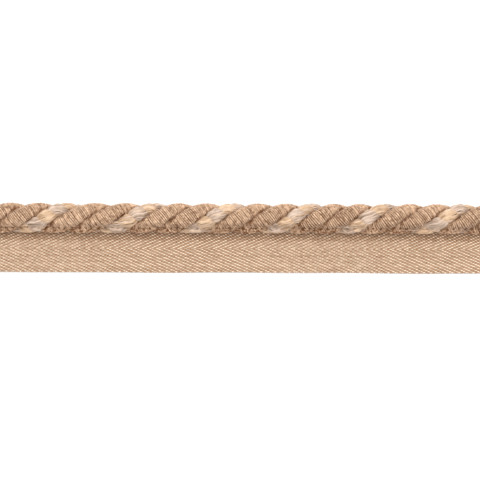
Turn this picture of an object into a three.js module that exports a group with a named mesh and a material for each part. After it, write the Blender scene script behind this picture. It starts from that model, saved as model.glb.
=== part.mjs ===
// A cut length of flanged decorative cord, the trimming that is sewn into the seam of a cushion or a chair cover.
// Three strands are twisted left-handed into a round cord, and the cord is sewn along the edge of a herringbone tape.
// Millimetres, +Z up. The cord runs along X and the tape points to -Y. The origin is on the surface that the
// trimming lies on, under the middle of its box.
import * as THREE from "three";

// Driving dimensions
const LENGTH = 160;
const CORD_DIAMETER = 9.4; // over the crests of the strands
const TAPE_WIDTH = 15;
const TAPE_THICKNESS = 1;
const TAPE_UNDER_CORD = 2.36; // how far the tape's sewn edge reaches under the cord
const CORD_FLAT = 0.12; // how far the soft cord is flattened where it lies on the surface

// The cord's underside climbs over the tape's sewn edge between two distances from that edge, and clears its face.
const CLIMB = { start: 3, end: 1.5, clearance: 0.45 };

const CORD_RADIUS = CORD_DIAMETER / 2;
const TOTAL_WIDTH = CORD_DIAMETER + TAPE_WIDTH - TAPE_UNDER_CORD;
const CORD_Y = TOTAL_WIDTH / 2 - CORD_RADIUS;
const CORD_Z = CORD_RADIUS - CORD_FLAT;
const TAPE_Y = TAPE_WIDTH / 2 - TOTAL_WIDTH / 2;

// The strands, in the order in which they follow each other round the cord. A strand fills a share of the turn. Its
// outline is an arc of the given radius round a point off the cord's axis, cut straight along its neighbours.
const STRANDS = [
  { name: "strand_light", share: 0.3, arcRadius: 2.75, arcCentre: 1.85, points: 18, steps: 240, bundles: 2 },
  { name: "strand_wrapped_a", share: 0.35, arcRadius: 3, arcCentre: 1.7, points: 15, steps: 120, bundles: 0 },
  { name: "strand_wrapped_b", share: 0.35, arcRadius: 3, arcCentre: 1.7, points: 15, steps: 120, bundles: 0 },
];
const STRAND_GAP = 0.38; // in a cut square to the cord; the strands slant, so that 0.3 is left square to them
const CORNER_SHARPNESS = 7; // the power that rounds the corners of an outline

// The light strand is two bundles of yarn, twisted together the other way than the cord.
const BUNDLE_CENTRE = 2.5; // from the cord's axis
const BUNDLE_RELIEF = 0.3;

// Where the light strand crosses the middle of the cord, at each full turn of the cord, and the turns that its
// bundles have made against the cord by there. Both twists are a little uneven.
const TURNS = [
  { at: -86.6, cord: -1, bundles: -8.6 },
  { at: -61.1, cord: 0, bundles: -4.6 },
  { at: -33.3, cord: 1, bundles: -0.3 },
  { at: -7.7, cord: 2, bundles: 3.8 },
  { at: 17.9, cord: 3, bundles: 7.8 },
  { at: 41.4, cord: 4, bundles: 11.9 },
  { at: 66.2, cord: 5, bundles: 15.3 },
  { at: 91.7, cord: 6, bundles: 19.3 },
];

// The seam that holds the cord on the tape draws its flank in, and leaves a low lip beyond the stitches.
const SEAM_ANGLE = THREE.MathUtils.degToRad(140); // round the cord from +Y, so on the side of the tape
const SEAM_HALF_WIDTH = THREE.MathUtils.degToRad(20);
const SEAM_DEPTH = 1.3;

// The tape's free edge wanders a little, and lifts a little off the surface, in long waves.
const TAPE_CELLS = { along: 64, across: 6 };
const EDGE_WANDER = { height: 0.11, waves: [{ length: 97, start: 0.6 }, { length: 41, start: 2.1 }] };
const EDGE_LIFT = { height: 0.16, waves: [{ length: 71, start: 1.2 }, { length: 33, start: 4.0 }] };
const LIFT_SHARE = 0.4; // the share of the tape's width, from its free edge, that lifts

const MATERIALS = {
  strand_light: new THREE.MeshStandardMaterial({ color: 0xdcc4a8, roughness: 0.45, metalness: 0 }),
  strand_wrapped_a: new THREE.MeshStandardMaterial({ color: 0xb98f6c, roughness: 0.9, metalness: 0 }),
  strand_wrapped_b: new THREE.MeshStandardMaterial({ color: 0xb98f6c, roughness: 0.9, metalness: 0 }),
  tape: new THREE.MeshStandardMaterial({ color: 0xcfaf92, roughness: 0.75, metalness: 0 }),
};

// The turns of the cord, or of the bundles, at a place along X, on a smooth curve through the marks.
function turnsAt(x, kind) {
  const last = TURNS.length - 2;
  const i = Math.min(last, Math.max(0, TURNS.findIndex((mark) => mark.at > x) - 1));
  const [before, from, to, after] = [i - 1, i, i + 1, i + 2].map((k) => TURNS[THREE.MathUtils.clamp(k, 0, last + 1)]);
  const span = to.at - from.at;
  const t = (x - from.at) / span;
  const slopeFrom = (to[kind] - before[kind]) / (to.at - before.at);
  const slopeTo = (after[kind] - from[kind]) / (after.at - from.at);
  // The cubic of Hermite through both marks, with the mean slopes of their neighbours.
  return (
    from[kind] * (1 + 2 * t) * (1 - t) ** 2 +
    slopeFrom * span * t * (1 - t) ** 2 +
    to[kind] * t ** 2 * (3 - 2 * t) -
    slopeTo * span * t ** 2 * (1 - t)
  );
}

function waves({ height, waves: parts }, x) {
  const sum = parts.reduce((total, { length, start }) => total + Math.sin((x / length) * 2 * Math.PI + start), 0);
  return (height * sum) / parts.length;
}

// How far a strand's outline is from its arc's centre, in the direction t: the nearest of its arc and its two flat
// sides, with the corners between them rounded.
function reach(strand, t) {
  const half = strand.share * Math.PI;
  const toSide = strand.arcCentre * Math.sin(half) - STRAND_GAP / 2;
  const sides = [half + Math.PI / 2, -half - Math.PI / 2].map((normal) => Math.max(0, Math.cos(t - normal)) / toSide);
  const nearness = [1 / strand.arcRadius, ...sides];
  return nearness.reduce((sum, n) => sum + n ** CORNER_SHARPNESS, 0) ** (-1 / CORNER_SHARPNESS);
}

// The outline of a strand in a cut square to the cord, with the cord's axis at 0, 0 and the strand towards +X.
function strandOutline(strand) {
  const points = Array.from({ length: strand.points }, (_, i) => {
    const t = ((i + 0.5) / strand.points) * 2 * Math.PI;
    const r = reach(strand, t);
    return new THREE.Vector2(strand.arcCentre + r * Math.cos(t), r * Math.sin(t));
  });
  return new THREE.Shape(points);
}

// Draws a point of the light strand in between its bundles.
function addBundles(point, strand, turns) {
  const x = point.x - BUNDLE_CENTRE;
  const angle = Math.atan2(point.y, x) - turns * 2 * Math.PI;
  const between = 1 - Math.abs(Math.cos((strand.bundles / 2) * angle));
  const shrink = 1 - (BUNDLE_RELIEF * between) / Math.hypot(x, point.y);
  point.x = BUNDLE_CENTRE + x * shrink;
  point.y *= shrink;
}

// Presses a point of the cord as the real one is pressed: in at the seam, flat on the surface below it, and up
// over the sewn edge of the tape. x is across and y is up from the cord's axis.
function press(point) {
  const radius = Math.hypot(point.x, point.y);
  const away = (Math.atan2(point.y, point.x) - SEAM_ANGLE) / SEAM_HALF_WIDTH;
  const draw = SEAM_DEPTH * Math.exp(-(away ** 2)) * (radius / CORD_RADIUS) ** 2;
  point.x *= 1 - draw / radius;
  point.y *= 1 - draw / radius;
  const edge = TAPE_UNDER_CORD - CORD_RADIUS;
  const overTape = 1 - THREE.MathUtils.smoothstep(point.x, edge + CLIMB.end, edge + CLIMB.start);
  const lowest = -CORD_Z + overTape * (TAPE_THICKNESS + CLIMB.clearance);
  point.y = Math.max(point.y, lowest);
}

// One strand along the whole cord, with the cord's axis along +Z and its start at 0.
function strandGeometry(strand, middle) {
  const { steps } = strand;
  const geometry = new THREE.ExtrudeGeometry(strandOutline(strand), { depth: LENGTH, steps, bevelEnabled: false });
  const position = geometry.getAttribute("position");
  const point = new THREE.Vector2();
  const axis = new THREE.Vector2();
  for (let i = 0; i < position.count; i++) {
    const along = position.getZ(i);
    const turns = turnsAt(along - LENGTH / 2, "cord");
    point.set(position.getX(i), position.getY(i));
    if (strand.bundles) addBundles(point, strand, turnsAt(along - LENGTH / 2, "bundles"));
    // At a whole turn the light strand is on top of the cord, and it moves to +Y from there.
    point.rotateAround(axis, Math.PI / 2 - 2 * Math.PI * (turns - middle));
    press(point);
    position.setXY(i, point.x, point.y);
  }
  return geometry;
}

function cord() {
  const group = new THREE.Group();
  let middle = 0;
  STRANDS.forEach((strand, i) => {
    if (i > 0) middle += (STRANDS[i - 1].share + strand.share) / 2;
    const mesh = new THREE.Mesh(strandGeometry(strand, middle), MATERIALS[strand.name]);
    mesh.name = strand.name;
    group.add(mesh);
  });
  // Local X goes to the row's Y, local Y to Z and local Z to X.
  const turn = new THREE.Matrix4().makeBasis(
    new THREE.Vector3(0, 1, 0),
    new THREE.Vector3(0, 0, 1),
    new THREE.Vector3(1, 0, 0),
  );
  group.quaternion.setFromRotationMatrix(turn);
  group.position.set(-LENGTH / 2, CORD_Y, CORD_Z);
  return group;
}

function tape() {
  const { along, across } = TAPE_CELLS;
  const geometry = new THREE.BoxGeometry(LENGTH, TAPE_WIDTH, TAPE_THICKNESS, along, across, 1);
  const position = geometry.getAttribute("position");
  for (let i = 0; i < position.count; i++) {
    const [x, y, z] = [position.getX(i), position.getY(i), position.getZ(i)];
    const fromFreeEdge = (y + TAPE_WIDTH / 2) / TAPE_WIDTH;
    const looseness = Math.max(0, 1 - fromFreeEdge / LIFT_SHARE) ** 2;
    const lift = (EDGE_LIFT.height + waves(EDGE_LIFT, x)) * looseness;
    const wander = (EDGE_WANDER.height + waves(EDGE_WANDER, x)) * (1 - fromFreeEdge) ** 2;
    position.setXYZ(i, x, y + wander, z + lift);
  }
  const mesh = new THREE.Mesh(geometry, MATERIALS.tape);
  mesh.name = "tape";
  mesh.position.set(0, TAPE_Y, TAPE_THICKNESS / 2);
  return mesh;
}

const trimming = new THREE.Group();
trimming.add(cord(), tape());

export default trimming;
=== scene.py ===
"""A cut length of flanged decorative cord, dressed over its solids.

The trimming is a round cord of three strands, twisted left-handed and sewn along one edge of a herringbone
tape. Two strands are matte yarn wrapped closely round a core, and the third is a white and a gold ply of
lustrous yarn. Every thread is laid out in millimetres in the part's own frame: X along the cord, -Y towards
the free edge of the tape and Z up from the surface. A mesh is made in metres.
"""

import logging
import math
from dataclasses import dataclass, field
from enum import Enum
from typing import Optional, Sequence, Union

import bmesh
import bpy
import numpy as np
from mathutils import Euler, Matrix, Vector

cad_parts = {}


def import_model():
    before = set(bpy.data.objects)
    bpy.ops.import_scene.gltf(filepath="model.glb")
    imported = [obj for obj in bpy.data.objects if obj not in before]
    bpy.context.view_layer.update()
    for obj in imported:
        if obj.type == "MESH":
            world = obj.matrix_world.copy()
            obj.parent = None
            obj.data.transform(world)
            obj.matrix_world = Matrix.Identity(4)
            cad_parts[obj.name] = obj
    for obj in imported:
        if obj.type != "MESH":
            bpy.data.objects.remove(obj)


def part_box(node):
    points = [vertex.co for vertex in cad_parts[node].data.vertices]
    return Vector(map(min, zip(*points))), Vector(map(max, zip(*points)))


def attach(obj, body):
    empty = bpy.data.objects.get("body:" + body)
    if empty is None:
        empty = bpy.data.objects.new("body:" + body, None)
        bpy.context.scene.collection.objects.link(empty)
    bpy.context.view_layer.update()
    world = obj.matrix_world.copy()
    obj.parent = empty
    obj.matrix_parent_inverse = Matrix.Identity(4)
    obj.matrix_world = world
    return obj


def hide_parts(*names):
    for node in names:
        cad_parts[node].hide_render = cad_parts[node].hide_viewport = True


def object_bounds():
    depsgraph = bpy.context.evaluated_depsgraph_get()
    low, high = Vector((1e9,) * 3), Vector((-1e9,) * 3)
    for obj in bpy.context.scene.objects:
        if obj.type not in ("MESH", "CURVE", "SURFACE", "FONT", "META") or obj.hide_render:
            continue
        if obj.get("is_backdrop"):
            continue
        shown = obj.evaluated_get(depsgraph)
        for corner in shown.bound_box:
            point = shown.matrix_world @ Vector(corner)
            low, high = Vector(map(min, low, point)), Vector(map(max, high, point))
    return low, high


LOG = logging.getLogger("trimming")
MM = 0.001
BODY = "root"
TAU = 2 * math.pi
Values = Union[float, np.ndarray]

# The solids' own sizes, in mm.
CORD_RADIUS = 4.7
CORD_FLAT = 0.12
TAPE_WIDTH = 15.0
TAPE_THICKNESS = 1.0

# How far inside the cut the longest threads end, in mm.
END_GAP = 0.05


class Slot(Enum):
    """The record's material slots."""

    LUSTROUS = "lustrous_yarn"
    WRAPPED = "wrapped_yarn"
    TAPE = "herringbone_tape"


class Twill(Enum):
    """The way in which a twill line leans, seen from above with X to the right."""

    RISING = -1
    FALLING = 1


def linear(colour: str) -> tuple[float, float, float, float]:
    """Turns an sRGB hex colour into linear values.

    Args:
        colour: six hex digits, such as "c8a078".

    Returns:
        Red, green, blue and an alpha of 1.
    """
    parts = [int(colour[i : i + 2], 16) / 255 for i in (0, 2, 4)]
    red, green, blue = (p / 12.92 if p <= 0.04045 else ((p + 0.055) / 1.055) ** 2.4 for p in parts)
    return red, green, blue, 1.0


def smooth_curve(at: np.ndarray, value: np.ndarray, x: np.ndarray) -> np.ndarray:
    """Reads a smooth curve that goes through marks.

    Args:
        at: the marks' places, rising.
        value: the curve's value at each mark.
        x: the places to read.

    Returns:
        The value at each of those places, by Hermite cubics with the mean slopes of the marks' neighbours.
    """
    count = len(at)
    low, high = np.maximum(np.arange(count) - 1, 0), np.minimum(np.arange(count) + 1, count - 1)
    slope = (value[high] - value[low]) / (at[high] - at[low])
    i = np.clip(np.searchsorted(at, x, side="right") - 1, 0, count - 2)
    span = at[i + 1] - at[i]
    t = (x - at[i]) / span
    return (
        value[i] * (1 + 2 * t) * (1 - t) ** 2
        + slope[i] * span * t * (1 - t) ** 2
        + value[i + 1] * t**2 * (3 - 2 * t)
        - slope[i + 1] * span * t**2 * (1 - t)
    )


def smooth_step(x: np.ndarray, low: float, high: float) -> np.ndarray:
    """Rises smoothly from 0 at low to 1 at high."""
    t = np.clip((x - low) / (high - low), 0, 1)
    return t * t * (3 - 2 * t)


def wander(x: np.ndarray, length: float, seed: int, octaves: int = 3) -> np.ndarray:
    """Gives an even, seeded wave that never quite repeats.

    Args:
        x: the places, in mm.
        length: the longest wave, in mm.
        seed: picks the waves' starts.
        octaves: how many waves are added, each about half as long as the one before.

    Returns:
        Values from about -1 to 1.
    """
    starts = np.random.RandomState(seed).uniform(0, TAU, octaves)
    total = sum(np.sin(x * TAU / length * 1.9**i + start) / 1.5**i for i, start in enumerate(starts))
    return total / sum(1 / 1.5**i for i in range(octaves))


@dataclass(frozen=True)
class Mark:
    """A place along the cord, with the turns made by there.

    Attributes:
        at: the place along X, in mm.
        cord: the cord's turns, whole where the light strand is on top.
        plies: the turns of the light strand's plies against the cord's.
    """

    at: float
    cord: float
    plies: float


@dataclass(frozen=True)
class Strand:
    """The outline of one strand in a cut square to the cord, in mm.

    Attributes:
        node: the solid that the strand stands for.
        share: the part of a turn that the strand fills.
        arc_radius: the radius of its outer arc.
        arc_centre: how far that arc's centre is from the cord's axis.
        middle: where the strand is, in turns from the light strand.
        corner_power: how sharp the corners between its arc and its flat sides are.
    """

    node: str
    share: float
    arc_radius: float
    arc_centre: float
    middle: float
    corner_power: float = 7.0

    def reach(self, centre: float, t: np.ndarray) -> np.ndarray:
        """Measures the outline from a point on the strand's middle line.

        Args:
            centre: how far the point is from the cord's axis.
            t: directions from it, 0 pointing away from the axis.

        Returns:
            The distance to the outline in each direction, with its corners rounded.
        """
        shift = centre - self.arc_centre
        arc = np.sqrt(self.arc_radius**2 - (shift * np.sin(t)) ** 2) - shift * np.cos(t)
        half = self.share * math.pi
        to_side = centre * math.sin(half)
        normals = (half + math.pi / 2, -half - math.pi / 2)
        sides = [np.maximum(0, np.cos(t - normal)) / to_side for normal in normals]
        nearness = sum(n**self.corner_power for n in (1 / arc, *sides))
        return nearness ** (-1 / self.corner_power)


@dataclass(frozen=True)
class Seam:
    """The seam that sews the cord to the tape and squeezes the cord's flank down on it, all in mm.

    Attributes:
        across: its place across the cord, from the cord's axis.
        squeeze: the share of its height that the flank loses.
        squeeze_from: where the squeezing starts and where it is whole, across the cord.
        spread: how much wider the squeezed lip grows.
        groove: the depth of the groove along the stitches.
        groove_width: half its width.
        stitch: from needle point to needle point.
        drift: the share of a stitch by which the stitches wander, and the length of that wave.
        hole: how much deeper each needle point is.
        hole_length: half the length of that hole.
        hole_width: half its width.
        flank: from where the lip's edge is held back, and by how much it can pass that.
        grip: between which heights from the axis the thread's pull grows.
        lip_edge: where the lip begins and where it is whole, out from the stitches.
        crease: how far the lip's creases slant for each mm along the cord, and how far apart they are.
    """

    across: float = -3.07
    squeeze: float = 0.4
    squeeze_from: tuple[float, float] = (-1.3, -3.2)
    spread: float = 0.22
    groove: float = 0.18
    groove_width: float = 0.34
    stitch: float = 2.1
    drift: tuple[float, float] = (0.2, 9.0)
    hole: float = 0.8
    hole_length: float = 0.36
    hole_width: float = 0.3
    flank: tuple[float, float] = (3.8, 0.8)
    grip: tuple[float, float] = (-2.0, 1.0)
    lip_edge: tuple[float, float] = (-0.4, 0.6)
    crease: tuple[float, float] = (0.32, 0.95)

    def stitches(self, x: np.ndarray) -> np.ndarray:
        """Counts the stitches, a little uneven, at places along X."""
        drift, length = self.drift
        return x / self.stitch + drift * wander(x, length, 41, octaves=2)

    def holes(self, x: np.ndarray, y: np.ndarray) -> np.ndarray:
        """Says how deep in a needle point each place is, from 0 to 1."""
        stitches = self.stitches(x)
        along = (stitches - np.round(stitches)) * self.stitch / self.hole_length
        return np.exp(-(along**2) - ((y - self.across) / self.hole_width) ** 2)

    def lip(self, y: np.ndarray) -> np.ndarray:
        """Says how much of the squeezed lip beyond the stitches each place is in, from 0 to 1."""
        begin, whole = self.lip_edge
        return smooth_step(-y, -self.across + begin, -self.across + whole)

    def pull(
        self, x: np.ndarray, y: np.ndarray, z: np.ndarray, floor: float
    ) -> tuple[np.ndarray, np.ndarray]:
        """Pulls points of the cord down on the tape.

        Args:
            x: places along the cord.
            y: how far each point is across from the cord's axis.
            z: how far it is up from the axis.
            floor: the height of the tape's face.

        Returns:
            The points' new places across and their new heights.
        """
        start, whole = self.squeeze_from
        kept = 1 - self.squeeze * smooth_step(-y, -start, -whole)
        z = np.where(z > floor, floor + (z - floor) * kept, z)
        groove = self.groove * np.exp(-(((y - self.across) / self.groove_width) ** 2))
        z = z - smooth_step(z, *self.grip) * (groove + self.hole * self.holes(x, y))
        y = y + self.spread * np.minimum(y - self.across, 0)
        start, room = self.flank
        held = -start - room * np.tanh((-y - start) / room)
        return np.where(y < -start, held, y), z

    def creases(self, x: np.ndarray, y: np.ndarray) -> np.ndarray:
        """Says where the slanting creases of the squeezed lip are, from -1 to 1, for their painted shade."""
        slant, apart = self.crease
        return np.sin(TAU * ((y - slant * x) / apart + 0.5 * wander(x, 4, 43))) * self.lip(y)


@dataclass(frozen=True)
class Lay:
    """How the cord lies and twists. Every strand, stitch and fibre of the cord is placed by it.

    Attributes:
        length: the cord's length, in mm as all sizes here.
        centre_y: where its axis is across the part.
        centre_z: how high its axis is.
        tape_edge: where the tape's sewn edge is across the part.
        tape_thickness: the tape's thickness.
        seam: the seam that holds it.
        marks: where the light strand is on top.
        climb: how far beyond the tape's sewn edge the cord's underside starts to climb over it, and where it
            has climbed.
        climb_clearance: how far it stays above the tape.
        least_rise: the least square of a height over the axis, in mm2.
    """

    length: float
    centre_y: float
    centre_z: float
    tape_edge: float
    tape_thickness: float
    seam: Seam = Seam()
    marks: tuple[Mark, ...] = (
        Mark(-86.6, -1, -8.6),
        Mark(-61.1, 0, -4.6),
        Mark(-33.3, 1, -0.3),
        Mark(-7.7, 2, 3.8),
        Mark(17.9, 3, 7.8),
        Mark(41.4, 4, 11.9),
        Mark(66.2, 5, 15.3),
        Mark(91.7, 6, 19.3),
    )
    climb: tuple[float, float] = (3.0, 1.5)
    climb_clearance: float = 0.1
    least_rise: float = 0.5

    @property
    def half(self) -> float:
        """Half the length, in mm."""
        return self.length / 2

    @property
    def twist(self) -> float:
        """The cord's mean twist, in radians per mm."""
        first, last = self.marks[0], self.marks[-1]
        return TAU * (last.cord - first.cord) / (last.at - first.at)

    def turns(self, x: np.ndarray) -> np.ndarray:
        """Gives the cord's turns at places along X."""
        return smooth_curve(np.array([m.at for m in self.marks]), np.array([m.cord for m in self.marks]), x)

    def ply_turns(self, x: np.ndarray) -> np.ndarray:
        """Gives the turns of the light strand's plies, against the cord's, at places along X."""
        return smooth_curve(np.array([m.at for m in self.marks]), np.array([m.plies for m in self.marks]), x)

    def place(
        self, strand: Strand, x: np.ndarray, out: np.ndarray, side: np.ndarray, radius: Values = 0.0
    ) -> np.ndarray:
        """Moves points of a strand's cut to where the twisted and sewn strand is.

        Args:
            strand: the strand.
            x: each point's place along the cord.
            out: how far it is from the cord's axis along the strand's middle line.
            side: how far it is beside that line.
            radius: the radius of the thread that runs there.

        Returns:
            The points in mm, one in each row.
        """
        angle = math.pi / 2 - TAU * (self.turns(x) - strand.middle)
        y = out * np.cos(angle) - side * np.sin(angle)
        z = out * np.sin(angle) + side * np.cos(angle)
        return self.press(x, y, z, radius)

    def press(self, x: np.ndarray, y: np.ndarray, z: np.ndarray, radius: Values = 0.0) -> np.ndarray:
        """Presses points of the cord as the seam, the tape and the surface press it.

        Args:
            x: places along the cord.
            y: how far each point is across from the cord's axis.
            z: how far it is up from the axis.
            radius: the radius of the thread that runs there, which stays clear of the tape and the surface.

        Returns:
            The points in mm in the part's frame, one in each row.
        """
        y, z = self.seam.pull(x, y, z, self.tape_thickness - self.centre_z)
        edge = self.tape_edge - self.centre_y
        over_tape = 1 - smooth_step(y, edge + self.climb[1], edge + self.climb[0])
        lowest = over_tape * (self.tape_thickness + self.climb_clearance) - self.centre_z + radius
        return np.column_stack([x, y + self.centre_y, np.maximum(z, lowest) + self.centre_z])

    def surface(self, strands: Sequence[Strand], x: np.ndarray, angle: Values) -> np.ndarray:
        """Measures the cord before it is sewn.

        Args:
            strands: the cord's strands.
            x: places along it.
            angle: the direction from its axis, from +Y.

        Returns:
            How far the outermost strand reaches there, in mm.
        """
        reaches = []
        for strand in strands:
            off = angle - (math.pi / 2 - TAU * (self.turns(x) - strand.middle))
            inside = np.maximum(strand.arc_radius**2 - (strand.arc_centre * np.sin(off)) ** 2, 0)
            reaches.append(strand.arc_centre * np.cos(off) + np.sqrt(inside))
        return np.max(reaches, axis=0)

    def rise(self, strands: Sequence[Strand], x: np.ndarray, across: Values, about: float) -> np.ndarray:
        """Measures how high the top of the cord is over its axis before it is sewn.

        Args:
            strands: the cord's strands.
            x: places along it.
            across: how far across from the axis each place is.
            about: the usual height there.

        Returns:
            The heights, in mm.
        """
        reach = self.surface(strands, x, np.arctan2(about, across))
        return np.sqrt(np.maximum(reach**2 - across**2, self.least_rise))


@dataclass
class Thread:
    """One thread: its points in mm, its radius in mm and its shade from 0, dark, to 1, light."""

    points: np.ndarray
    radius: Values
    shade: Values = 0.5

    def spread(self, value: Values) -> np.ndarray:
        """Gives one value for each point."""
        return np.broadcast_to(np.asarray(value, float), (len(self.points),))


def spin(
    name: str, threads: Sequence[Thread], sides: int, stretch: Sequence[float] = (1, 1, 1)
) -> bpy.types.Object:
    """Makes one object of round, closed threads.

    Args:
        name: the object's name.
        threads: the threads.
        sides: how many sides a thread's section has, an even number from 4.
        stretch: how much wider than round the threads are made along X, Y and Z.

    Returns:
        The object, with each point's shade in the attribute "shade".
    """
    wide = np.array(stretch, float)
    curve = bpy.data.curves.new(name, "CURVE")
    curve.dimensions = "3D"
    curve.bevel_depth = MM
    curve.bevel_resolution = (sides - 4) // 2
    curve.use_fill_caps = True
    for thread in threads:
        spline = curve.splines.new("POLY")
        spline.points.add(len(thread.points) - 1)
        places = np.column_stack([thread.points / wide * MM, np.ones(len(thread.points))])
        spline.points.foreach_set("co", places.ravel())
        spline.points.foreach_set("radius", thread.spread(thread.radius))
    path = bpy.data.objects.new(name + "_path", curve)
    bpy.context.collection.objects.link(path)
    graph = bpy.context.evaluated_depsgraph_get()
    mesh = bpy.data.meshes.new_from_object(path.evaluated_get(graph))
    bpy.data.objects.remove(path)
    bpy.data.curves.remove(curve)
    mesh.name = name
    mesh.transform(Matrix.Diagonal((*wide, 1)))
    # Blender puts the caps first, from the last thread's end to the first thread's start, then the threads.
    shades = [t.spread(t.shade) for t in threads]
    caps = [shade[end] for shade in reversed(shades) for end in (-1, 0)]
    values = np.repeat(np.concatenate([caps, *shades]), sides)
    mesh.attributes.new("shade", "FLOAT", "POINT").data.foreach_set("value", values)
    # A cap has its own points at first. Joined to the thread's, they close it.
    closed = bmesh.new()
    closed.from_mesh(mesh)
    bmesh.ops.remove_doubles(closed, verts=closed.verts, dist=1e-7)
    closed.to_mesh(mesh)
    closed.free()
    mesh.shade_smooth()
    return link(name, mesh)


def link(name: str, mesh: bpy.types.Mesh) -> bpy.types.Object:
    """Puts a mesh into the scene as an object at the origin."""
    piece = bpy.data.objects.new(name, mesh)
    bpy.context.collection.objects.link(piece)
    return piece


def dress(
    piece: bpy.types.Object, finish: "Finish", nodes: Sequence[str] = ()
) -> bpy.types.Object:
    """Gives a piece its finish and its body, and hides the solids that it stands for.

    Args:
        piece: the piece.
        finish: what it is made of.
        nodes: the solids that it replaces.

    Returns:
        The piece.
    """
    piece.data.materials.clear()
    piece.data.materials.append(finish.material())
    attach(piece, BODY)
    if nodes:
        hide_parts(*nodes)
    LOG.info("%s: %d faces", piece.name, len(piece.data.polygons))
    return piece


def add_node(
    tree: bpy.types.NodeTree,
    kind: str,
    links: Optional[dict[Union[str, int], object]] = None,
    settings: Optional[dict[str, object]] = None,
) -> bpy.types.Node:
    """Adds one shader node.

    Args:
        tree: the material's nodes.
        kind: the node's type.
        links: for each input, the output that feeds it or the value that it holds.
        settings: the node's own settings.

    Returns:
        The node.
    """
    node = tree.nodes.new(kind)
    for key, value in (settings or {}).items():
        setattr(node, key, value)
    for key, value in (links or {}).items():
        if isinstance(value, bpy.types.NodeSocket):
            tree.links.new(value, node.inputs[key])
        else:
            node.inputs[key].default_value = value
    return node


@dataclass(frozen=True)
class Finish:
    """A dyed yarn or cloth.

    Attributes:
        name: what the material is.
        dark: its colour in the dark threads, as sRGB hex.
        light: its colour in the light threads.
        roughness: how dull it is.
        specular: how strong its shine is.
        sheen: how much its loose fibres catch the light.
        mottle: the size of its uneven patches, in mm.
        mottle_share: how much those patches shift its shade.
        grain: the size of its fibres, in mm along X, Y and Z.
        grain_depth: how deep the fibres are, in mm.
    """

    name: str
    dark: str
    light: str
    roughness: float
    specular: float = 0.3
    sheen: float = 0.0
    mottle: float = 2.5
    mottle_share: float = 0.5
    grain: tuple[float, float, float] = (0.15, 0.15, 0.15)
    grain_depth: float = 0.03

    def material(self) -> bpy.types.Material:
        """Makes the material, or finds it if it was made before."""
        made = bpy.data.materials.get(self.name)
        if made:
            return made
        made = bpy.data.materials.new(self.name)
        made.use_nodes = True
        tree = made.node_tree
        tree.nodes.clear()
        place = add_node(tree, "ShaderNodeTexCoord").outputs["Object"]
        shade = add_node(tree, "ShaderNodeAttribute", settings={"attribute_name": "shade"}).outputs["Fac"]
        patches = add_node(
            tree, "ShaderNodeTexNoise", {"Vector": place, "Scale": 1 / (self.mottle * MM), "Detail": 3.0}
        )
        # The noise lies mostly between 0.3 and 0.7.
        shift = add_node(
            tree,
            "ShaderNodeMapRange",
            {0: patches.outputs["Fac"], 1: 0.3, 2: 0.7, 3: -self.mottle_share / 2, 4: self.mottle_share / 2},
        )
        total = add_node(
            tree,
            "ShaderNodeMath",
            {0: shade, 1: shift.outputs["Result"]},
            {"operation": "ADD", "use_clamp": True},
        )
        colour = add_node(
            tree,
            "ShaderNodeMix",
            {"Factor": total.outputs["Value"], "A": linear(self.dark), "B": linear(self.light)},
            {"data_type": "RGBA"},
        )
        sized = add_node(
            tree,
            "ShaderNodeMapping",
            {"Vector": place, "Scale": tuple(1 / (size * MM) for size in self.grain)},
        )
        fibres = add_node(
            tree, "ShaderNodeTexNoise", {"Vector": sized.outputs["Vector"], "Scale": 1.0, "Detail": 2.0}
        )
        bump = add_node(
            tree,
            "ShaderNodeBump",
            {"Height": fibres.outputs["Fac"], "Strength": 1.0, "Distance": self.grain_depth * MM},
        )
        surface = add_node(
            tree,
            "ShaderNodeBsdfPrincipled",
            {
                "Base Color": colour.outputs[2],
                "Roughness": self.roughness,
                "Specular IOR Level": self.specular,
                "Sheen Weight": self.sheen,
                "Sheen Roughness": 0.5,
                "Normal": bump.outputs["Normal"],
            },
        )
        add_node(tree, "ShaderNodeOutputMaterial", {"Surface": surface.outputs["BSDF"]})
        return made


# Soft spun viscose and cotton in a warm tan: matte and speckled, with a bloom of loose fibre.
WRAPPED = Finish(
    "wrapped_matte_yarn", "7b4f2d", "e7c4a4", 0.85, specular=0.2, sheen=0.1, mottle=0.6, mottle_share=0.35
)

# The core, coloured as the painted shade of the wraps: it only shows as a warm dark between them.
WRAPPED_CORE = Finish("core_of_wrapped_yarn", "7d5a40", "967054", 0.9, specular=0.1)

# Bright filament rayon in silver white and in pale gold: it shines along its fibres.
PLY_WHITE = Finish(
    "silver_white_filament_yarn", "a1866f", "e2cab7", 0.42, specular=0.4, mottle=2.0, grain=(3.0, 0.12, 0.12)
)
PLY_GOLD = Finish(
    "pale_gold_filament_yarn", "ae8b6a", "ebcbaa", 0.42, specular=0.4, mottle=2.0, grain=(3.0, 0.12, 0.12)
)

# The same rayon inside the strand, and cut across: plain and without its gleam.
PLY_CORE = Finish("core_of_filament_yarn", "a98d72", "c6ab91", 0.7)
CUT_FILAMENT = Finish("cut_filament_yarn", "b39c86", "e0d0c0", 0.6)

# Mercerised cotton in a close twill: smooth ends with a soft gleam over plainer picks. The ends' colours also
# carry painted highlights on the crowns of the floats and painted shade in their dips.
WARP = Finish("twill_tape_ends", "8a6240", "fbe4ca", 0.45, specular=0.45, mottle=6.0, mottle_share=0.06)
WEFT = Finish("twill_tape_picks", "a67e5a", "c69c79", 0.75, mottle=6.0, mottle_share=0.12)

# The sheet between the tape's threads, coloured dull and dark as their painted shade.
GROUND = Finish("twill_tape_ground", "6d4d35", "7f5d43", 0.9, mottle_share=0.2)

# Spun sewing thread in the cord's own tan, a little smoother than the yarn that it sinks into.
SEAM_THREAD = Finish("tan_sewing_thread", "a5815f", "cfae8c", 0.6)

# Undyed cotton filling, cut across: pale and chalky.
CUT_YARN = Finish("cut_cotton_filling", "b79a7c", "e0cbb2", 0.9, specular=0.1)


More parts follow.
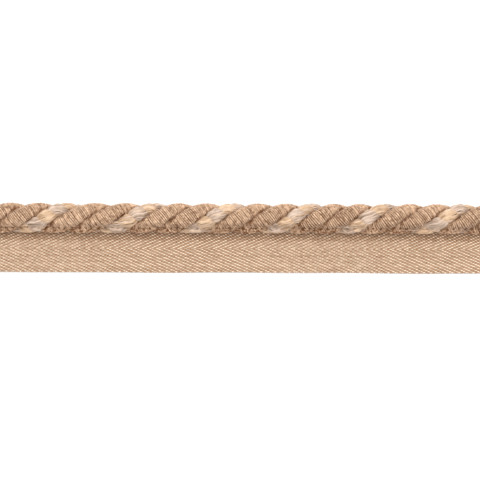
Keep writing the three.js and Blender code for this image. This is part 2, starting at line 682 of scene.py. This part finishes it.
@dataclass(frozen=True)
class Shading:
    """How the shade of a strand's yarn changes, from 0, dark, to 1, light.

    Attributes:
        mean: the shade of plain yarn.
        by_thread: how much it changes from one wrap or filament to the next.
        slow: how much it changes along the cord, and the length of that wave in mm.
        valley: how much painted shade darkens the yarn where it dives between the strands.
        hole: how much painted shade darkens it in a needle point.
    """

    mean: float
    by_thread: float
    slow: tuple[float, float]
    valley: float
    hole: float


@dataclass
class WrappedStrand:
    """A strand of matte yarn wrapped closely round a core.

    Attributes:
        lay: how the cord lies.
        strand: the strand.
        seed: picks how it is uneven. Each wave adds its own number to it.
        wrap_pitch: from one wrap to the next, in mm. It is coarser than in the real yarn, so that it shows.
        wrap_radius: the yarn's radius, more than half the pitch, so that the wraps press together.
        wrap_jitter: how uneven the yarn's thickness is, as a share, and its height and its place, in mm.
        proud: how far the wraps stand out of the strand's outline.
        valley: between which angles from the strand's middle the yarn dives between the strands. Painted
            shade
        darkens it there.
        wrap_points: the points in one wrap.
        upright: how far from the cut end a wrap has its whole lean.
        lean_radius: how far from the cord's axis a wrap stands square to the strand.
        core_inset: how far the core stays inside the outline.
        hairs: the number of loose fibres.
        hair_radius: their radius, coarser than real, so that they show.
        hair_length: the shortest and the longest.
        hair_height: how high the highest stand.
        hair_margin: how far they stay from the cut ends.
        cut_ends: the number of filling yarns that show where the strand is cut.
        shading: the yarn's shade.
        speckle: how much the shade changes from point to point.
        valley_change: how much the valley's painted shade changes along the cord, and the length of that
            wave in mm.
        lip_shade: how much painted shade darkens the lip beyond the stitches.
        crease_shade: how strongly the lip's creases are painted, darker in them as painted shade and lighter
            between.
    """

    lay: Lay
    strand: Strand
    seed: int
    wrap_pitch: float = 0.43
    wrap_radius: float = 0.255
    wrap_jitter: tuple[float, float, float] = (0.08, 0.02, 0.04)
    proud: float = 0.17
    valley: tuple[float, float] = (math.radians(68), math.radians(83))
    wrap_points: int = 26
    upright: float = 3.0
    lean_radius: float = 3.0
    core_inset: float = 0.33
    hairs: int = 1900
    hair_radius: float = 0.045
    hair_length: tuple[float, float] = (0.5, 1.6)
    hair_height: float = 0.3
    hair_margin: float = 4.0
    cut_ends: int = 44
    shading: Shading = Shading(0.65, 0.07, (0.08, 23.0), 0.38, 1.0)
    speckle: float = 0.19
    valley_change: tuple[float, float] = (0.25, 5.0)
    lip_shade: float = 0.3
    crease_shade: float = 0.32

    def lean(self, out: np.ndarray, side: np.ndarray) -> np.ndarray:
        """Says how far along the cord a point of a wrap lies from the wrap's middle.

        A wrap stands square to the strand, which slants round the cord.

        Args:
            out: the point's distance from the cord's axis along the strand's middle line.
            side: its distance beside that line.

        Returns:
            The shift along X in mm.
        """
        slant = self.lay.twist * self.lean_radius
        return side * slant / (1 + out * self.lay.twist * slant)

    def wraps(self) -> bpy.types.Object:
        """Winds the yarn round the strand from end to end."""
        lay, strand, shading = self.lay, self.strand, self.shading
        count = round(lay.length / self.wrap_pitch)
        turns = np.arange(count * self.wrap_points + 1) / self.wrap_points
        draws = np.random.RandomState(self.seed)
        uneven = draws.normal(0, 1, (3, count + 2))
        at = turns.astype(int)
        part = turns - at
        mixed = uneven[:, at] * (1 - part) + uneven[:, at + 1] * part
        thickness, height, shift = self.wrap_jitter
        t = turns * TAU
        radius = self.wrap_radius * (1 + thickness * mixed[0])
        reach = strand.reach(strand.arc_centre, t) + self.proud - self.wrap_radius + height * mixed[1]
        out, side = strand.arc_centre + reach * np.cos(t), reach * np.sin(t)
        limit = lay.half - self.wrap_radius - END_GAP
        middle = (turns / count * 2 - 1) * limit
        loose = smooth_step(lay.half - np.abs(middle), 0, self.upright)
        x = np.clip(middle + loose * (self.lean(out, side) + shift * mixed[2]), -limit, limit)
        points = lay.place(strand, x, out, side, radius)
        across = points[:, 1] - lay.centre_y
        share, length = shading.slow
        shade = shading.mean + shading.by_thread * uneven[0][at] + share * wander(middle, length, self.seed)
        shade += draws.normal(0, self.speckle, len(turns))
        # Painted shade: darker where the yarn dives between the strands, in the needle points and on the lip
        # beyond the stitches, and darker and lighter across the lip's creases.
        share, length = self.valley_change
        valley = shading.valley + share * wander(middle, length, self.seed + 7)
        shade -= valley * smooth_step(np.abs((t + math.pi) % TAU - math.pi), *self.valley)
        shade -= shading.hole * lay.seam.holes(x, across) + self.lip_shade * lay.seam.lip(across)
        shade -= self.crease_shade * lay.seam.creases(x, across)
        return spin(strand.node + "_wraps", [Thread(points, radius, shade)], 6)

    def fuzz(self) -> bpy.types.Object:
        """Raises the short loose fibres of the yarn."""
        lay, strand = self.lay, self.strand
        draws = np.random.RandomState(60 + self.seed)
        steps = np.linspace(0, 1, 4)
        # A hair rises out of the yarn, and its tip bends down again by a third.
        bow, depth = np.sin(2.4 * steps), 0.04
        threads = []
        for _ in range(self.hairs):
            length = draws.uniform(*self.hair_length)
            heading = draws.uniform(0, TAU)
            start_x = draws.uniform(-1, 1) * (lay.half - self.hair_margin)
            start_t = draws.uniform(0, TAU)
            x = start_x + length * math.cos(heading) * steps
            t = start_t + length * math.sin(heading) / strand.arc_radius * steps
            height = draws.uniform(0.3, 1) * self.hair_height * bow
            reach = strand.reach(strand.arc_centre, t) - depth + height
            out, side = strand.arc_centre + reach * np.cos(t), reach * np.sin(t)
            points = lay.place(strand, x + self.lean(out, side), out, side, self.hair_radius)
            threads.append(Thread(points, self.hair_radius, draws.uniform(0.2, 1)))
        return spin(strand.node + "_fuzz", threads, 4)

    def build(self) -> None:
        """Makes the wraps, their fuzz, the core and its cut ends."""
        dress(self.wraps(), WRAPPED, [self.strand.node])
        dress(self.fuzz(), WRAPPED)
        core = strand_core(self.lay, self.strand, self.core_inset)
        dress(core, WRAPPED_CORE)
        dress(cut_filling(self.lay, self.strand, self.cut_ends, 70 + self.seed), CUT_YARN)


def strand_core(
    lay: Lay, strand: Strand, inset: float, steps: int = 200, around: int = 24
) -> bpy.types.Object:
    """Makes the plain closed body inside a strand.

    Args:
        lay: how the cord lies.
        strand: the strand.
        inset: how far the body stays inside the strand's outline, in mm.
        steps: its steps along the cord.
        around: its steps round the strand.

    Returns:
        The body.
    """
    grid = bmesh.new()
    bmesh.ops.create_grid(grid, x_segments=steps, y_segments=around, size=0.5)
    corners = np.array([vertex.co for vertex in grid.verts])
    x = corners[:, 0] * (lay.length - 2 * inset)
    t = (corners[:, 1] + 0.5) * TAU
    reach = strand.reach(strand.arc_centre, t) - inset
    places = lay.place(strand, x, strand.arc_centre + reach * np.cos(t), reach * np.sin(t), inset / 2) * MM
    for vertex, place in zip(grid.verts, places):
        vertex.co = place
    bmesh.ops.remove_doubles(grid, verts=grid.verts, dist=1e-6)
    bmesh.ops.holes_fill(grid, edges=[edge for edge in grid.edges if edge.is_boundary])
    bmesh.ops.recalc_face_normals(grid, faces=grid.faces)
    mesh = bpy.data.meshes.new(strand.node + "_core")
    grid.to_mesh(mesh)
    grid.free()
    mesh.shade_smooth()
    return link(mesh.name, mesh)


def cut_filling(lay: Lay, strand: Strand, count: int, seed: int) -> bpy.types.Object:
    """Makes the filling yarns that show where a strand is cut, at both of its ends.

    Args:
        lay: how the cord lies.
        strand: the strand.
        count: how many yarns fill it.
        seed: picks how unevenly they are cut.

    Returns:
        The yarns' ends.
    """
    draws = np.random.RandomState(seed)
    # The yarns are spread as evenly as seeds in a flower, inside the wraps.
    golden = math.pi * (3 - math.sqrt(5))
    inset, fill = 0.75, 0.72
    radius = strand.arc_radius * fill / math.sqrt(count)
    threads = []
    for end in (-1, 1):
        for number in range(count):
            t = np.array([number * golden])
            share = math.sqrt((number + 0.5) / count)
            reach = (strand.reach(strand.arc_centre, t) - inset) * share
            x = end * (lay.half - np.array([2.0, 0.7, draws.uniform(0.04, 0.4)]))
            out, side = strand.arc_centre + reach * np.cos(t), reach * np.sin(t)
            points = lay.place(strand, x, np.repeat(out, 3), np.repeat(side, 3), radius)
            threads.append(Thread(points, radius * draws.uniform(0.9, 1.1), draws.uniform(0.2, 0.9)))
    return spin(strand.node + "_filling", threads, 8)


@dataclass
class LightStrand:
    """The strand of two plies, one white and one gold, each a soft twisted bundle of filaments.

    Attributes:
        lay: how the cord lies.
        strand: the strand.
        plies: the number of plies.
        ply_centre: how far from the cord's axis the plies twist together, in mm.
        ply_from_centre: how far a ply's middle is from there, as a share of the way to the outline.
        ply_radii: the plies' radii, as shares of that way.
        ply_flattening: how much wider than thick a ply is pressed.
        swelling: how uneven a ply's radius is, and the length of that wave in mm.
        filaments: the filaments that are drawn in a ply, far fewer and coarser than real, so that they show.
        filament_radius: a filament's mean radius, in mm.
        filament_range: the thinnest and the thickest, as shares of that.
        filament_turn: the turns that a filament makes round its ply for each turn of the ply.
        drift: how far a filament wanders round its ply, in radians, and the length of that wave in mm.
        stray_every: one filament in so many has the other ply's colour, so that the colours run together.
        proud: how far the plies stand out of the strand's outline, in mm.
        valley: between which angles from the strand's middle the plies dive between the strands. Painted
            shade
        darkens them there.
        steps: the points along a filament.
        end_inset: how far the filaments end from the cut end.
        core_inset: how far the core stays inside the outline.
        cut_ends: the number of filling yarns that show where the strand is cut.
        shading: the yarn's shade.
        flank_shade: how much painted shade darkens the lip's outer edge.
        flank: where that edge begins and where it is whole, out from the cord's axis.
    """

    lay: Lay
    strand: Strand
    plies: int = 2
    ply_centre: float = 2.5
    ply_from_centre: float = 0.36
    ply_radii: tuple[float, float] = (0.62, 0.58)
    ply_flattening: float = 0.4
    swelling: tuple[float, float] = (0.03, 11.0)
    filaments: int = 32
    filament_radius: float = 0.23
    filament_range: tuple[float, float] = (0.85, 1.15)
    filament_turn: float = 0.15
    drift: tuple[float, float] = (0.11, 19.0)
    stray_every: int = 14
    proud: float = 0.34
    valley: tuple[float, float] = (math.radians(62), math.radians(88))
    steps: int = 300
    end_inset: float = 0.3
    core_inset: float = 0.8
    cut_ends: int = 40
    shading: Shading = Shading(0.6, 0.19, (0.18, 7.0), 0.18, 0.25)
    flank_shade: float = 0.35
    flank: tuple[float, float] = (3.8, 4.5)

    def filament(self, ply: int, number: int, seed: int) -> Thread:
        """Lays one filament of a ply.

        Args:
            ply: which ply.
            number: which filament, counted round the ply.
            seed: picks how it wanders.

        Returns:
            The filament.
        """
        lay, shading = self.lay, self.shading
        limit = lay.half - self.end_inset
        x = np.linspace(-limit, limit, self.steps)
        draws = np.random.RandomState(seed)
        turns = lay.ply_turns(x)
        turn = TAU * (turns + ply / self.plies)
        share, length = self.drift
        about = TAU * (self.filament_turn * turns + number / self.filaments) + share * wander(x, length, seed)
        share, length = self.swelling
        swell = self.ply_radii[ply] * (1 + share * wander(x, length, seed + 1))
        swell = swell * (1 + self.ply_flattening * np.sin(about - turn) ** 2)
        across = self.ply_from_centre * np.cos(turn) + swell * np.cos(about)
        beside = self.ply_from_centre * np.sin(turn) + swell * np.sin(about)
        t = np.arctan2(beside, across)
        reach = self.strand.reach(self.ply_centre, t) * np.hypot(across, beside)
        reach += self.proud - self.filament_radius
        radius = self.filament_radius * draws.uniform(*self.filament_range)
        points = lay.place(self.strand, x, self.ply_centre + reach * np.cos(t), reach * np.sin(t), radius)
        share, length = shading.slow
        shade = draws.normal(shading.mean, shading.by_thread) + share * wander(x, length, seed + 2)
        # Painted shade: darker between the strands, in the needle points and on the lip's outer edge.
        shade -= shading.valley * smooth_step(np.abs(t), *self.valley)
        beyond = lay.centre_y - points[:, 1]
        shade -= shading.hole * lay.seam.holes(x, -beyond)
        shade -= self.flank_shade * smooth_step(beyond, *self.flank)
        return Thread(points, radius, shade)

    def build(self) -> None:
        """Makes the plies, the core that they close round and its cut ends."""
        colours: tuple[list[Thread], list[Thread]] = ([], [])
        for ply in range(self.plies):
            for number in range(self.filaments):
                strays = number % self.stray_every == ply
                seed = 100 + 17 * (ply * self.filaments + number)
                colours[(ply + strays) % 2].append(self.filament(ply, number, seed))
        for threads, finish, name in zip(colours, (PLY_WHITE, PLY_GOLD), ("ply_white", "ply_gold")):
            dress(spin(name, threads, 6), finish, [self.strand.node])
        core = strand_core(self.lay, self.strand, self.core_inset)
        dress(core, PLY_CORE)
        dress(cut_filling(self.lay, self.strand, self.cut_ends, 80), CUT_FILAMENT)


@dataclass
class Wave:
    """A long uneven wave of the tape's free edge: its mean height and its two waves, in mm."""

    height: float
    lengths: tuple[float, float]
    starts: tuple[float, float]

    def at(self, x: np.ndarray) -> np.ndarray:
        """Gives the edge's shift at places along X."""
        total = sum(np.sin(x / length * TAU + start) for length, start in zip(self.lengths, self.starts))
        return self.height * (1 + total / len(self.lengths))


@dataclass
class Tape:
    """The herringbone tape: 2/1 twill that turns back along its middle.

    Attributes:
        lay: how the cord lies on it.
        free_edge: the free edge's place along Y, in mm.
        width: the tape's width.
        thickness: its thickness.
        ends: the number of threads along it, half for each way of the twill. They are fewer and coarser than
            real ones, as the picks are, so that the twill shows.
        pick: the distance from one crossing thread to the next.
        end_radius: the radius of an end.
        pick_radius: the radius of a pick, up and down.
        pick_widening: how much wider than thick a pick is pressed.
        end_swing: how far an end goes up and down.
        pick_swing: how far a pick does.
        end_drift: how far an end wanders across the tape, and the length of that wave.
        loop: how far the picks turn back outside the last ends.
        repeat: the picks after which the twill repeats.
        lift: how far the free edge lifts.
        sway: how far it sways.
        lift_share: the share of the width that lifts.
        end_shade: the ends' mean shade and how much it changes from end to end.
        slow_shade: how much the shade changes along an end, and the length of that wave.
        crowns: the painted highlight on the dullest crown of a float, and how much brighter the brightest is.
        crown_power: how rare bright painted highlights are.
        dips: how dark the painted shade is in the lightest and the darkest dip under a pick.
        dips_by_cord: how much darker still that painted shade is in the cord's painted shadow.
        shadow: how much the cord's painted shadow darkens all of the tape there.
        shadow_from: where that painted shadow begins and where it is whole, across the part.
        ground_cells: the cells of the sheet between the floats, along and across.
        ground_inset: how much shorter and narrower than the tape it is.
        ground_thickness: its thickness.
    """

    lay: Lay
    free_edge: float
    width: float
    thickness: float
    ends: int = 46
    pick: float = 0.76
    end_radius: float = 0.185
    pick_radius: float = 0.18
    pick_widening: float = 1.75
    end_swing: float = 0.24
    pick_swing: float = 0.1
    end_drift: tuple[float, float] = (0.03, 9.0)
    loop: float = 0.19
    repeat: int = 3
    lift: Wave = field(default_factory=lambda: Wave(0.16, (71, 33), (1.2, 4.0)))
    sway: Wave = field(default_factory=lambda: Wave(0.11, (97, 41), (0.6, 2.1)))
    lift_share: float = 0.4
    end_shade: tuple[float, float] = (0.42, 0.05)
    slow_shade: tuple[float, float] = (0.05, 12.0)
    crowns: tuple[float, float] = (0.3, 1.8)
    crown_power: float = 1.4
    dips: tuple[float, float] = (0.2, 1.8)
    dips_by_cord: float = 2.2
    shadow: float = 0.22
    shadow_from: tuple[float, float] = (-2.6, 1.8)
    ground_cells: tuple[int, int] = (320, 30)
    ground_inset: tuple[float, float] = (0.4, 0.3)
    ground_thickness: float = 0.2

    @property
    def middle(self) -> float:
        """The height of the middle of the tape, in mm."""
        return self.thickness / 2

    def end_y(self, end: Union[int, np.ndarray]) -> Union[float, np.ndarray]:
        """Gives an end's place across the tape, counted from the free edge."""
        return self.free_edge + (end + 0.5) * self.width / self.ends

    def twill_step(self, end: Union[int, np.ndarray]) -> Union[int, np.ndarray]:
        """Gives the pick, within the repeat, that passes over an end."""
        half = self.ends // 2
        falling, rising = Twill.FALLING.value, Twill.RISING.value
        return np.where(end < half, -falling * end, -rising * end - 1) % self.repeat

    def settle(self, points: np.ndarray) -> np.ndarray:
        """Lifts and sways points of the flat tape as its loose edge does."""
        x, y, z = points.T
        from_free_edge = np.clip((y - self.free_edge) / self.width, 0, 1)
        looseness = np.maximum(0, 1 - from_free_edge / self.lift_share) ** 2
        lifted = z + self.lift.at(x) * looseness
        return np.column_stack([x, y + self.sway.at(x) * (1 - from_free_edge) ** 2, lifted])

    def warp(self) -> bpy.types.Object:
        """Weaves the ends: each floats over two picks and dips under the third."""
        limit = self.lay.half - END_GAP
        picks = int(limit / self.pick) + 2
        # Along one repeat: the dip under a pick, the rise, the bright crown of the float, and the fall.
        # The third row paints shade into the dip and a highlight onto the crown.
        stations = np.array([0, 1.08, 1.5, 1.92])
        heights = np.array([-1, 0.85, 1, 0.85])
        painted_highlight_and_shade = np.array([-0.4, 0.0, 0.62, 0.0])
        drift, drift_length = self.end_drift
        slow, slow_length = self.slow_shade
        dullest, brighter = self.crowns
        threads = []
        for end in range(self.ends):
            step = int(self.twill_step(end))
            start = 2 * step - picks - (step - picks) % self.repeat
            repeats = np.arange(start, picks + self.repeat, self.repeat)
            x = ((repeats[:, None] + stations[None, :]) * self.pick).ravel()
            draws = np.random.RandomState(900 + end)
            z = np.tile(heights, len(repeats))
            # A few crowns get a bright painted highlight and many a dull one,
            # and no dip's painted shade is as dark as the next.
            crowns = dullest + brighter * draws.uniform(0, 1, len(repeats)) ** self.crown_power
            in_cord_shadow = smooth_step(self.end_y(end), *self.shadow_from)
            dips = draws.uniform(*self.dips, len(repeats)) * (1 + self.dips_by_cord * in_cord_shadow)
            crown = np.where(painted_highlight_and_shade < 0, dips[:, None] * painted_highlight_and_shade, crowns[:, None] * painted_highlight_and_shade).ravel()
            inside = np.abs(x) < limit
            x, z, crown = np.r_[-limit, x[inside], limit], np.r_[0, z[inside], 0], np.r_[0, crown[inside], 0]
            y = self.end_y(end) + drift * wander(x, drift_length, 700 + end)
            points = np.column_stack([x, y, self.middle + self.end_swing * z])
            shade = draws.normal(*self.end_shade) + slow * wander(x, slow_length, 500 + end) + crown
            # Painted shadow that the cord casts on the tape beside it.
            shade -= self.shadow * in_cord_shadow
            threads.append(Thread(self.settle(points), self.end_radius, shade))
        return spin("tape_ends", threads, 6)

    def weft(self) -> bpy.types.Object:
        """Weaves the picks: one thread goes to and fro from edge to edge."""
        limit = self.lay.half - self.pick / 2
        count = int(limit / self.pick)
        ends = np.arange(self.ends)
        y = self.end_y(ends)
        rows = []
        for pick in range(-count, count + 1):
            over = np.where((pick - self.twill_step(ends)) % self.repeat == 0, 1, -1)
            x = np.full(self.ends, pick * self.pick)
            row = np.column_stack([x, y, self.middle + self.pick_swing * over])
            # The pick turns back round the outermost ends.
            row[[0, -1], 1] += self.loop * np.array([-1, 1])
            rows.append(row if pick % 2 == 0 else row[::-1])
        points = self.settle(np.concatenate(rows))
        threads = [Thread(points, self.pick_radius, 0.5)]
        return spin("tape_picks", threads, 6, stretch=(self.pick_widening, 1, 1))

    def ground(self) -> bpy.types.Object:
        """Makes the thin sheet between the floats that closes the weave, dark as painted shade."""
        sheet = bmesh.new()
        along, across = self.ground_cells
        shorter, narrower = self.ground_inset
        bmesh.ops.create_grid(sheet, x_segments=along, y_segments=across, size=0.5)
        bmesh.ops.scale(sheet, vec=(self.lay.length - shorter, self.width - narrower, 1), verts=sheet.verts)
        shift = (0, self.free_edge + self.width / 2, self.middle - self.ground_thickness / 2)
        bmesh.ops.translate(sheet, vec=shift, verts=sheet.verts)
        places = self.settle(np.array([vertex.co for vertex in sheet.verts])) * MM
        for vertex, place in zip(sheet.verts, places):
            vertex.co = place
        bmesh.ops.solidify(sheet, geom=sheet.faces[:], thickness=self.ground_thickness * MM)
        bmesh.ops.recalc_face_normals(sheet, faces=sheet.faces)
        mesh = bpy.data.meshes.new("tape_ground")
        sheet.to_mesh(mesh)
        sheet.free()
        return link(mesh.name, mesh)

    def build(self) -> None:
        """Makes the tape's threads and its ground."""
        warp = dress(self.warp(), WARP)
        weft = dress(self.weft(), WEFT)
        ground = dress(self.ground(), GROUND, ["tape"])


@dataclass
class SeamRow:
    """The row of stitches that holds the cord on the tape.

    Attributes:
        lay: how the cord lies.
        strands: its strands.
        thread_radius: the thread's radius, in mm.
        step: the distance between its points.
        end_inset: how far it ends from the cut ends.
        sag: how far a stitch bows out between its needle points.
        height: how high over the axis the cord is there.
        bedding: how far the thread's middle is over the yarn, as a share of its radius.
        needle_sink: how far it sinks in at a needle point.
        needle_power: how steeply it does so.
        under_gap: how far it stays over the surface below the tape.
        under_wave: how far it goes up and down there.
    """

    lay: Lay
    strands: Sequence[Strand]
    thread_radius: float = 0.13
    step: float = 0.15
    end_inset: float = 0.6
    sag: float = 0.4
    height: float = 3.4
    bedding: float = 0.6
    needle_sink: float = 0.35
    needle_power: int = 6
    under_gap: float = 0.08
    under_wave: float = 0.06

    def build(self) -> None:
        """Makes the stitches on the cord and those under the tape."""
        lay, seam = self.lay, self.lay.seam
        limit = lay.half - self.end_inset
        x = np.arange(-limit, limit, self.step)
        between = np.sin(math.pi * seam.stitches(x)) ** 2
        across = seam.across - self.sag * between
        height = lay.rise(self.strands, x, across, self.height) + self.thread_radius * self.bedding
        points = lay.press(x, across, height)
        points[:, 2] -= self.needle_sink * (1 - between) ** self.needle_power
        top = Thread(points, self.thread_radius, 0.5)
        wave = self.under_wave * np.cos(TAU * seam.stitches(x))
        under_y = np.full(len(x), lay.centre_y + seam.across)
        under = np.column_stack([x, under_y, self.thread_radius + self.under_gap + wave])
        dress(spin("seam", [top, Thread(under, self.thread_radius)], 6), SEAM_THREAD)


@dataclass
class LooseFibres:
    """Pale filaments that have come out of the light strand and lie along the seam and the lip.

    Attributes:
        lay: how the cord lies.
        strands: its strands.
        count: the number of fibres.
        radius: their radius, coarser than real, so that they show.
        length: the shortest and the longest, in mm.
        points: the points in one.
        lanes: between which places across the cord they lie.
        height: how high over the axis the cord is there.
        lift: how far a fibre lies over it.
        bow: how far a fibre bows up and sideways.
        turn_at_seam: the part of a turn after which the light strand reaches the seam.
        turn_spread: how far from there they stray.
        lag: the shares of a fibre's length that lie before and after that place.
    """

    lay: Lay
    strands: Sequence[Strand]
    count: int = 90
    radius: float = 0.05
    length: tuple[float, float] = (2.5, 9.0)
    points: int = 20
    lanes: tuple[float, float] = (-4.3, -2.2)
    height: float = 3.2
    lift: float = 0.1
    bow: float = 0.25
    turn_at_seam: float = 0.85
    turn_spread: float = 0.09
    lag: tuple[float, float] = (-0.65, 0.35)

    def fibre(self, draws: np.random.RandomState) -> Thread:
        """Lays one fibre near a place where the light strand dives under the seam."""
        lay = self.lay
        grid = np.linspace(-lay.half, lay.half, 400)
        turns = lay.turns(grid)
        turn = math.floor(draws.uniform(turns[0], turns[-1])) + self.turn_at_seam
        turn += draws.normal(0, self.turn_spread)
        length = draws.uniform(*self.length)
        limit = lay.half - length - 1
        middle = np.clip(np.interp(turn, turns, grid), -limit, limit)
        x = middle + np.linspace(*self.lag, self.points) * length
        lane = draws.uniform(*self.lanes)
        across = lane + self.bow * wander(x, draws.uniform(6, 14), draws.randint(9999))
        height = lay.rise(self.strands, x, across, self.height) + self.lift
        points = lay.press(x, across, height, self.radius)
        points[:, 2] += self.bow * np.abs(wander(x, 5, draws.randint(9999)))
        return Thread(points, self.radius, draws.uniform(0.55, 1))

    def build(self) -> None:
        """Lays the fibres."""
        draws = np.random.RandomState(31)
        fibres = [self.fibre(draws) for _ in range(self.count)]
        dress(spin("loose_fibres", fibres, 4), PLY_WHITE)


@dataclass
class Studio:
    """The white table, the soft lights and the camera above the trimming.

    Attributes:
        view_width: the width of the picture at the height that is looked at, in mm.
        lens: the lens's focal length, in mm.
        sensor: the width of the sensor, in mm.
        look_at: the place that is looked at, in mm.
        roll: how far the camera is turned.
        ambient: the strength of the light from all sides.
        table_half: half the table's side, in metres.
        table_white: how white it is.
        table_glow: the table's own light, which keeps it pale.
        table_drop: how far it lies under the trimming, in mm.
        soft_boxes: each lamp's name, place and side in metres, and power in watts.
    """

    view_width: float = 153.6
    lens: float = 135.0
    sensor: float = 36.0
    look_at: tuple[float, float, float] = (1.15, -0.53, 4.7)
    roll: float = math.radians(0.2)
    ambient: float = 0.75
    table_half: float = 3.0
    table_white: float = 0.86
    table_glow: float = 0.16
    table_drop: float = 0.02
    soft_boxes: tuple[tuple[str, tuple[float, float, float], float, float], ...] = (
        ("overhead", (0.0, 0.26, 0.92), 0.8, 7.0),
    )

    def camera(self) -> None:
        """Puts the camera straight above, with the long lens of a product photograph."""
        data = bpy.data.cameras.new("camera")
        data.lens = self.lens
        data.sensor_width = self.sensor
        distance = self.view_width * self.lens / self.sensor
        x, y, z = self.look_at
        camera = bpy.data.objects.new("camera", data)
        camera.location = Vector((x, y, z + distance)) * MM
        camera.rotation_euler = Euler((0, 0, self.roll))
        data.clip_start, data.clip_end = 0.01, 10
        bpy.context.collection.objects.link(camera)
        bpy.context.scene.camera = camera

    def lamp(self, name: str, place: tuple[float, float, float], size: float, power: float) -> None:
        """Hangs a square soft box that faces the trimming.

        Args:
            name: the lamp's name.
            place: where it hangs, in metres.
            size: its side, in metres.
            power: its power in watts.
        """
        data = bpy.data.lights.new(name, "AREA")
        data.shape, data.size, data.energy = "SQUARE", size, power
        lamp = bpy.data.objects.new(name, data)
        lamp.location = place
        lamp.rotation_euler = (-Vector(place)).to_track_quat("-Z", "Y").to_euler()
        bpy.context.collection.objects.link(lamp)

    def table(self) -> None:
        """Lays the matte white table top."""
        top = bmesh.new()
        bmesh.ops.create_grid(top, x_segments=1, y_segments=1, size=self.table_half)
        mesh = bpy.data.meshes.new("table_top")
        top.to_mesh(mesh)
        top.free()
        white = bpy.data.materials.new("matte_white_table")
        white.use_nodes = True
        surface = white.node_tree.nodes["Principled BSDF"]
        surface.inputs["Base Color"].default_value = (*[self.table_white] * 3, 1)
        surface.inputs["Roughness"].default_value = 0.9
        surface.inputs["Specular IOR Level"].default_value = 0.1
        surface.inputs["Emission Color"].default_value = (1, 1, 1, 1)
        surface.inputs["Emission Strength"].default_value = self.table_glow
        mesh.materials.append(white)
        piece = link(mesh.name, mesh)
        piece.location.z = -self.table_drop * MM
        piece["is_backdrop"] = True

    def build(self) -> None:
        """Sets up the table, the lights and the camera."""
        scene = bpy.context.scene
        scene.view_settings.view_transform = "Standard"
        scene.view_settings.look = "None"
        world = bpy.data.worlds.new("studio")
        world.use_nodes = True
        sky = world.node_tree.nodes["Background"]
        sky.inputs["Color"].default_value = (1, 1, 1, 1)
        sky.inputs["Strength"].default_value = self.ambient
        scene.world = world
        for soft_box in self.soft_boxes:
            self.lamp(*soft_box)
        self.table()
        self.camera()


def main() -> None:
    """Builds the trimming over its solids and sets it in the studio."""
    logging.basicConfig(level=logging.INFO, format="%(name)s: %(message)s")
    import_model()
    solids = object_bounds()
    low, high = (np.array(corner) / MM for corner in solids)
    tape_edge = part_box("tape")[1][1] / MM
    lay = Lay(
        length=high[0] - low[0],
        centre_y=high[1] - CORD_RADIUS,
        centre_z=CORD_RADIUS - CORD_FLAT,
        tape_edge=tape_edge,
        tape_thickness=TAPE_THICKNESS,
    )
    # The soft plies are pressed narrower between their neighbours than their solid is.
    light = Strand("strand_light", share=0.258, arc_radius=2.75, arc_centre=1.85, middle=0.0)
    wrapped = [
        Strand("strand_wrapped_a", share=0.35, arc_radius=3.0, arc_centre=1.7, middle=0.325),
        Strand("strand_wrapped_b", share=0.35, arc_radius=3.0, arc_centre=1.7, middle=0.675),
    ]
    Studio().build()
    LightStrand(lay, light).build()
    for seed, strand in enumerate(wrapped):
        WrappedStrand(lay, strand, seed + 1).build()
    Tape(lay, tape_edge - TAPE_WIDTH, TAPE_WIDTH, TAPE_THICKNESS).build()
    SeamRow(lay, [light, *wrapped]).build()
    LooseFibres(lay, [light, *wrapped]).build()


if __name__ == "__main__":
    main()
